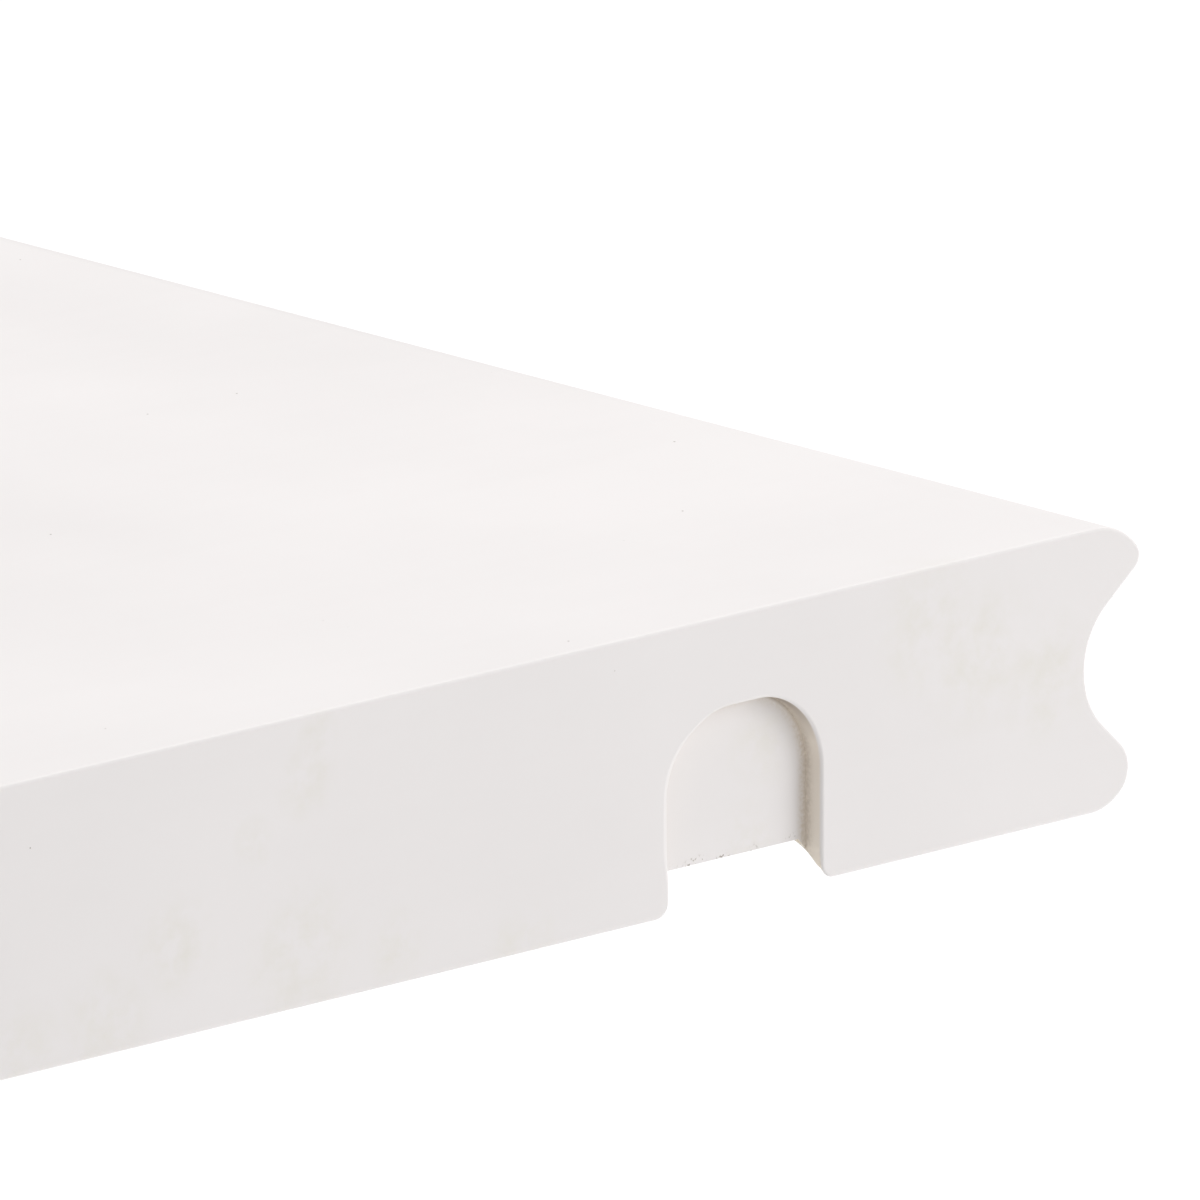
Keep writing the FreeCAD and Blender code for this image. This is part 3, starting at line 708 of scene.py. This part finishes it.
# %% Zinc plating
def zinc_plated_steel(name, base_roughness):
    steel, tree, shader = new_material(name, {"Metallic": 1.0})
    place = add_node(tree, "ShaderNodeTexCoord").outputs["Object"]
    bloom = add_node(tree, "ShaderNodeTexNoise", {"Vector": place, "Scale": 1 / (6 * MM), "Detail": 5.0})
    tone = add_node(tree, "ShaderNodeMapRange", {"Value": bloom, "From Min": 0.35, "From Max": 0.65})
    hue = add_node(
        tree, "ShaderNodeMix",
        {6: colour("#C9CDD1"), 7: colour("#D3D0C6"), "Factor": tone}, data_type="RGBA",
    )
    tree.links.new(hue.outputs[2], shader.inputs["Base Color"])
    lines = (1 / (30 * MM), 1 / (0.5 * MM), 1 / (0.5 * MM))
    rolled = add_node(tree, "ShaderNodeMapping", {"Vector": place, "Scale": lines})
    scuff = add_node(tree, "ShaderNodeTexNoise", {"Vector": rolled, "Scale": 1.0, "Detail": 4.0})
    blend = add_node(tree, "ShaderNodeMix", {"Factor": 0.5, "A": bloom, "B": scuff})
    dull = add_node(
        tree, "ShaderNodeMapRange",
        {"Value": blend, "From Min": 0.35, "From Max": 0.65,
         "To Min": base_roughness - 0.08, "To Max": base_roughness + 0.1},
    )
    tree.links.new(dull.outputs[0], shader.inputs["Roughness"])
    relief = add_node(tree, "ShaderNodeBump", {"Height": scuff, "Strength": 0.15, "Distance": 0.03 * MM})
    tree.links.new(relief.outputs[0], shader.inputs["Normal"])
    return steel


sheet_steel = zinc_plated_steel("zinc_plated_sheet_steel", 0.36)
screw_steel = zinc_plated_steel("zinc_plated_screw_steel", 0.28)
print("metals:", sheet_steel.name, screw_steel.name)

# %% [markdown]
# ## The brackets
#
# A bracket is stamped from 2.5 mm sheet and bent once: an ear that stands on the wall and a wide
# arm that carries the shelf. The solid model already has its true shape, so its two nodes stay
# as they are. Stamping and plating leave no sharp edges, though, and a sharp edge never
# catches light. Three modifiers mend that: a weld joins the imported triangles, a bevel rounds
# each edge by 0.25 mm, and weighted normals keep the faces flat.

# %% Dress the brackets
STAMPED_ARRIS, TRIANGLE_GAP = 0.25 * MM, 0.005 * MM
for name in nodes_named("wall_bracket"):
    bracket = NODES[name]
    weld = bracket.modifiers.new("joined triangles", "WELD")
    weld.merge_threshold = TRIANGLE_GAP
    edge_round = bracket.modifiers.new("stamped edges", "BEVEL")
    edge_round.limit_method = "ANGLE"
    edge_round.angle_limit = math.radians(35)
    edge_round.width = STAMPED_ARRIS
    edge_round.segments = 2
    bracket.modifiers.new("flat faces stay flat", "WEIGHTED_NORMAL")
    bracket.data.materials.clear()
    bracket.data.materials.append(sheet_steel)
print("brackets:", nodes_named("wall_bracket"))

# %% [markdown]
# ## Turned shapes
#
# Screw heads and plugs are round, so they can be turned on a lathe: a profile of radius and
# height, spun about the Z axis. A profile that starts and ends on the axis closes itself there,
# and one that never reaches it, like a tube's, is closed by joining its ends.

# %% Lathe
def welded(piece):
    """Joins points that lie together, closes open ends and turns the faces outwards."""
    shape = bmesh.new()
    shape.from_mesh(piece.data)
    bmesh.ops.remove_doubles(shape, verts=shape.verts, dist=WELD)
    bmesh.ops.dissolve_degenerate(shape, edges=shape.edges, dist=WELD)
    bmesh.ops.holes_fill(shape, edges=shape.edges)
    bmesh.ops.recalc_face_normals(shape, faces=shape.faces)
    shape.to_mesh(piece.data)
    shape.free()
    return piece


def spun(x, y, angle):
    """A point turned about the origin, by an angle in radians."""
    return x * math.cos(angle) - y * math.sin(angle), x * math.sin(angle) + y * math.cos(angle)


def turned(name, profile, tube=False, around=48):
    """Spins (radius, height) points in mm about Z. A tube's profile is a closed loop off the axis."""
    points, faces = [], []
    for radius, height in profile:
        for i in range(around):
            x, y = spun(radius * MM, 0.0, 2 * math.pi * i / around)
            points.append((x, y, height * MM))
    rows = len(profile)
    for row in range(rows if tube else rows - 1):
        above = (row + 1) % rows
        for i in range(around):
            following = (i + 1) % around
            corners = [(row, i), (row, following), (above, following), (above, i)]
            faces.append([r * around + a for r, a in corners])
    return welded(new_piece(name, points, faces))


print("lathe: a quarter turn takes (1, 0) to", [round(v, 3) for v in spun(1.0, 0.0, math.pi / 2)])

# %% [markdown]
# ## Threads
#
# A thread is one tooth carried along a helix. A screw modifier could make it, but a wood screw's thread must
# also run out at the head and shrink with the point. So we place each point one by one: its angle comes from
# the step round the screw, its height from the step plus its share of the pitch, and its radius from the
# core, the tooth and how much tooth that height gets. Heights past either end are held there, where the
# points then weld into a ring.

# %% Threaded shank
TOOTH = [(0.0, 0.0), (0.3, 0.0), (0.46, 1.0), (0.54, 1.0), (0.7, 0.0)]
BLUNT = 0.1


def threaded_shank(length, core, crest, pitch, point_length, around=24):
    """A wood screw's shank along Z from 0 to length, with its thread running out at both ends."""
    turns = math.ceil(length / pitch) + 2
    points, faces = [], []
    for step in range(turns * around + 1):
        angle = 2 * math.pi * step / around
        for share, tooth in TOOTH:
            height = min(max(pitch * (step / around + share - 1), 0.0), length)
            taper = min(1.0, (length - height) / point_length)
            run_out = min(1.0, height / pitch)
            radius = core * (BLUNT + (1 - BLUNT) * taper) + (crest - core) * tooth * taper**0.6 * run_out
            points.append((*spun(radius, 0.0, angle), height))
    wide = len(TOOTH)
    for step in range(turns * around):
        for i in range(wide - 1):
            a = step * wide + i
            faces.append((a, a + 1, a + wide + 1, a + wide))
        a, next_turn = step * wide + wide - 1, (step + around) * wide
        if step + around < turns * around:
            faces.append((a, next_turn, next_turn + wide, a + wide))
    return welded(new_piece("shank", points, faces))


print("tooth, as (share of the pitch, height):", TOOTH)

# %% [markdown]
# ## Making a screw
#
# A screw is a turned head joined to a threaded shank, with a cross pressed into the head. The
# cross is a plus-shaped solid that narrows downwards, as the driver's tip does. Head and shank
# are joined by a boolean so that the screw is one clean skin, as the real one is.

# %% Heads, crosses and whole screws
def cross_ring(half_length, half_width, height):
    """A plus sign, twelve corners, at one height."""
    arm = [(half_length, -half_width), (half_length, half_width), (half_width, half_width)]
    return [(*spun(x, y, quarter * math.pi / 2), height) for quarter in range(4) for x, y in arm]


def screw(name, head, neck, shank, cross_reach):
    """Joins a shank to a head at the neck's height, and presses the cross in at height zero."""
    piece = turned(name, head)
    shank.data.transform(Matrix.Translation((0.0, 0.0, neck)))
    combine(piece, shank, "UNION")
    cross = [
        cross_ring(1.08 * cross_reach, 0.55 * MM, -0.2 * MM),
        cross_ring(cross_reach, 0.5 * MM, 0.0),
        cross_ring(0.45 * cross_reach, 0.32 * MM, 1.5 * MM),
        cross_ring(0.1 * MM, 0.08 * MM, 1.8 * MM),
    ]
    combine(piece, skinned("cross", cross))
    welded(piece)
    smooth_by_angle(piece, degrees=38)
    print(name + ":", len(piece.data.polygons), "faces")
    return piece


print("cross:", len(cross_ring(1.0, 0.5, 0.0)), "corners")

# %% [markdown]
# ## Putting copies in place
#
# Six fixing screws are the same screw six times, and each one stands for its own node. One
# function copies a finished piece to a list of nodes: it turns the copy, moves it to its place
# in the node's box, and says what it rides on, what it replaces and what it is made of. What
# goes into the wall starts at its box's front face, and what goes up into the board starts at
# its box's bottom.

# %% Place copies on nodes
def place_copies(master, nodes, material, into_wall=False):
    """Copies master, which points up Z from its origin, to each node."""
    turn = Matrix.Rotation(math.radians(-90), 4, "X") if into_wall else Matrix.Identity(4)
    for node in nodes:
        mesh = master.data.copy()
        low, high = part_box(node)
        start = (low + high) / 2
        if into_wall:
            start.y = low.y
        else:
            start.z = low.z
        mesh.transform(Matrix.Translation(start) @ turn)
        mesh.materials.clear()
        mesh.materials.append(material)
        copy = in_scene(node + "_drawn", mesh)
        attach(copy, "wall_hardware")
        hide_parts(node)
    print(len(nodes), "copies of", master.name)
    bpy.data.objects.remove(master)


for start in ("wall_screw", "wall_plug", "fixing_screw"):
    print("to place:", nodes_named(start))

# %% [markdown]
# ## The wall screws
#
# A 4.5 x 40 mm countersunk wood screw goes through each ear into its plug. The head is a
# straight rim of 0.35 mm over a cone, and the thread has a pitch of 2.2 mm. We turn it pointing
# up Z, with its head's flat top at zero, and then lay it into the wall.

# %% Wall screws
head = [(0.0, 0.0), (4.15, 0.0), (4.3, 0.12), (4.3, 0.35), (2.3, 2.35), (1.62, 3.4), (1.62, 5.0), (0.0, 5.0)]
shank = threaded_shank(
    length=36.0 * MM, core=1.55 * MM, crest=2.25 * MM, pitch=2.2 * MM, point_length=4.0 * MM,
)
wall_screw = screw("wall_screw", head, 4.0 * MM, shank, cross_reach=2.2 * MM)
place_copies(wall_screw, nodes_named("wall_screw"), screw_steel, into_wall=True)

# %% [markdown]
# ## The fixing screws
#
# Three 3.8 x 15 mm pan head screws hold each arm up against the roof of its pocket. A pan head
# is a low drum with a well rounded rim. These already point up, so they need no turning.

# %% Fixing screws
HEAD_R, RIM = 3.9, 1.1
turns = [math.radians(15 * step) for step in range(7)]
rim_arc = [(HEAD_R - RIM + RIM * math.sin(turn), RIM - RIM * math.cos(turn)) for turn in turns]
head = [(0.0, 0.0)] + rim_arc + [(HEAD_R, 2.2), (1.9, 2.2), (1.4, 3.0), (1.4, 4.0), (0.0, 4.0)]
shank = threaded_shank(
    length=14.2 * MM, core=1.3 * MM, crest=1.9 * MM, pitch=1.6 * MM, point_length=3.0 * MM,
)
fixing_screw = screw("fixing_screw", head, 3.0 * MM, shank, cross_reach=2.0 * MM)
place_copies(fixing_screw, nodes_named("fixing_screw"), screw_steel)

# %% [markdown]
# ## Moulded nylon
#
# The wall plugs are injection moulded in grey nylon. The surface came off a spark-eroded mould,
# so it is evenly matt with a fine grain of about 0.3 mm, and nylon lets a little light in,
# which softens its shadows.

# %% Nylon
nylon, tree, shader = new_material(
    "moulded_grey_nylon",
    {"IOR": 1.53, "Subsurface Weight": 0.15, "Subsurface Radius": (1.0, 1.0, 1.0),
     "Subsurface Scale": 0.6 * MM},
)
place = add_node(tree, "ShaderNodeTexCoord").outputs["Object"]
flow = add_node(tree, "ShaderNodeTexNoise", {"Vector": place, "Scale": 1 / (9 * MM), "Detail": 3.0})
tone = add_node(
    tree, "ShaderNodeMix", {6: colour("#A9ACAF"), 7: colour("#B5B7B9"), "Factor": flow}, data_type="RGBA",
)
tree.links.new(tone.outputs[2], shader.inputs["Base Color"])
mould = add_node(tree, "ShaderNodeTexNoise", {"Vector": place, "Scale": 1 / (0.3 * MM), "Detail": 1.0})
matt = add_node(tree, "ShaderNodeMapRange", {"Value": mould, "To Min": 0.42, "To Max": 0.6})
tree.links.new(matt.outputs[0], shader.inputs["Roughness"])
relief = add_node(tree, "ShaderNodeBump", {"Height": mould, "Strength": 0.2, "Distance": 0.02 * MM})
tree.links.new(relief.outputs[0], shader.inputs["Normal"])
print("nylon: mould grain 0.3 mm")

# %% [markdown]
# ## The wall plugs
#
# A plug is a ribbed tube. Behind a plain collar come saw-tooth ribs that grip the masonry, and
# two slots at right angles split the far end into four legs, which the screw spreads. The tube
# is turned on the lathe and two thin boxes are cut out of it.

# %% Wall plugs
PLUG_LONG, TIP, COLLAR, RIB_STEP = 35.0, 2.0, 7.0, 3.0
RIB_R, VALLEY_R, BORE_R = 3.95, 3.5, 2.3
outside = [(4.0, 0.0), (4.0, 1.2), (3.6, 1.8), (3.6, COLLAR)]
start = COLLAR
while start + RIB_STEP < PLUG_LONG - TIP:
    outside += [(RIB_R, start + 0.4), (RIB_R, start + 0.8), (VALLEY_R, start + RIB_STEP)]
    start += RIB_STEP
outside += [(VALLEY_R, PLUG_LONG - TIP), (3.0, PLUG_LONG)]
bore = [(BORE_R, PLUG_LONG), (BORE_R, 0.6), (2.7, 0.0)]
wall_plug = turned("wall_plug", outside + bore, tube=True)
half_long, half_wide = 5.0 * MM, 0.4 * MM
slot = [(-half_long, -half_wide), (half_long, -half_wide), (half_long, half_wide), (-half_long, half_wide)]
for degrees in (45, 135):
    corners = [spun(x, y, math.radians(degrees)) for x, y in slot]
    rings = [[(x, y, z) for x, y in corners] for z in (COLLAR * MM, (PLUG_LONG + 1.0) * MM)]
    combine(wall_plug, skinned("slot", rings))
smooth_by_angle(wall_plug, degrees=30)
print("wall plug:", len(wall_plug.data.polygons), "faces")
place_copies(wall_plug, nodes_named("wall_plug"), nylon, into_wall=True)

# %% [markdown]
# ## The floor
#
# A plain white floor well below the shelf. It gives off a little light of its own, so that it
# stays white to its far edge. From beneath it is clear, so that the board's underside can be
# looked at through it: the shader picks by which side of the face is seen.

# %% Floor
FLOOR_Z, FLOOR_HALF = -0.45, 12.0
WHITE = (1.0, 1.0, 1.0, 1.0)
corners = [(x * FLOOR_HALF, y * FLOOR_HALF, FLOOR_Z) for x, y in ((-1, -1), (1, -1), (1, 1), (-1, 1))]
floor = new_piece("studio_floor", corners, [(0, 1, 2, 3)])
if floor.data.polygons[0].normal.z < 0:
    floor.data.flip_normals()
sweep, tree, shader = new_material(
    "white_studio_floor",
    {"Base Color": WHITE, "Roughness": 0.9, "Specular IOR Level": 0.0,
     "Emission Color": WHITE, "Emission Strength": 0.06},
)
below = add_node(tree, "ShaderNodeNewGeometry").outputs["Backfacing"]
clear = add_node(tree, "ShaderNodeBsdfTransparent")
both = add_node(tree, "ShaderNodeMixShader", {0: below, 1: shader.outputs[0], 2: clear.outputs[0]})
tree.links.new(both.outputs[0], tree.nodes["Material Output"].inputs["Surface"])
floor.data.materials.append(sweep)
print("floor at", FLOOR_Z, "m")

# %% [markdown]
# ## The light
#
# White paint on a white floor shows its shape only if its faces differ in brightness. A dim
# even sky fills everything, a large soft box high over the front gives the top its brightness,
# and a smaller one stands behind the shelf's left end. That one lights the back and leaves the
# seats' end walls in shade, with a soft shadow on the seats' backs.

# %% Sky and soft boxes
scene.world = bpy.data.worlds.new("studio")
scene.world.use_nodes = True
sky = scene.world.node_tree.nodes["Background"]
sky.inputs["Color"].default_value = WHITE
sky.inputs["Strength"].default_value = 0.36


def soft_box(name, position, target, width, power):
    lamp = bpy.data.lights.new(name, "AREA")
    lamp.size = width
    lamp.energy = power
    holder = in_scene(name, lamp)
    holder.location = position
    holder.rotation_euler = (Vector(target) - Vector(position)).to_track_quat("-Z", "Y").to_euler()
    print(name, power, "W,", width, "m wide")


soft_box("over_the_front", position=(-1.6, -1.4, 3.6), target=(-0.3, -0.3, 0.0), width=4.5, power=138.0)
left_seat, distance = Vector((-SEAT_X, 0.0, 0.0)), 2.2
behind = left_seat + distance * Vector((-0.65, 0.6, 0.4)).normalized()
soft_box("behind_the_left_end", position=behind, target=left_seat, width=1.5, power=21.0)

# %% [markdown]
# ## The camera
#
# A catalogue close-up is taken from far off with a long lens, so that parallel edges stay
# almost parallel. The camera looks down a little, at the back left corner of the board. Its
# place is a point and two angles: azimuth round the vertical, and elevation above the level.

# %% Camera
AZIMUTH, ELEVATION, LENS = math.radians(137.004), math.radians(14.546), 822.96
CAMERA_PLACE = (2.08757, 2.46363, 0.89899)
level = math.cos(ELEVATION)
back = Vector((math.sin(AZIMUTH) * level, -math.cos(AZIMUTH) * level, math.sin(ELEVATION)))
camera = in_scene("camera", bpy.data.cameras.new("camera"))
camera.data.sensor_width = 36.0
camera.data.lens = LENS
camera.data.clip_start = 0.1
camera.data.clip_end = 100.0
camera.location = CAMERA_PLACE
camera.rotation_mode = "QUATERNION"
camera.rotation_quaternion = (-back).to_track_quat("-Z", "Y")
scene.camera = camera
scene.view_settings.view_transform = "Standard"
print("camera:", [round(v, 3) for v in camera.location])
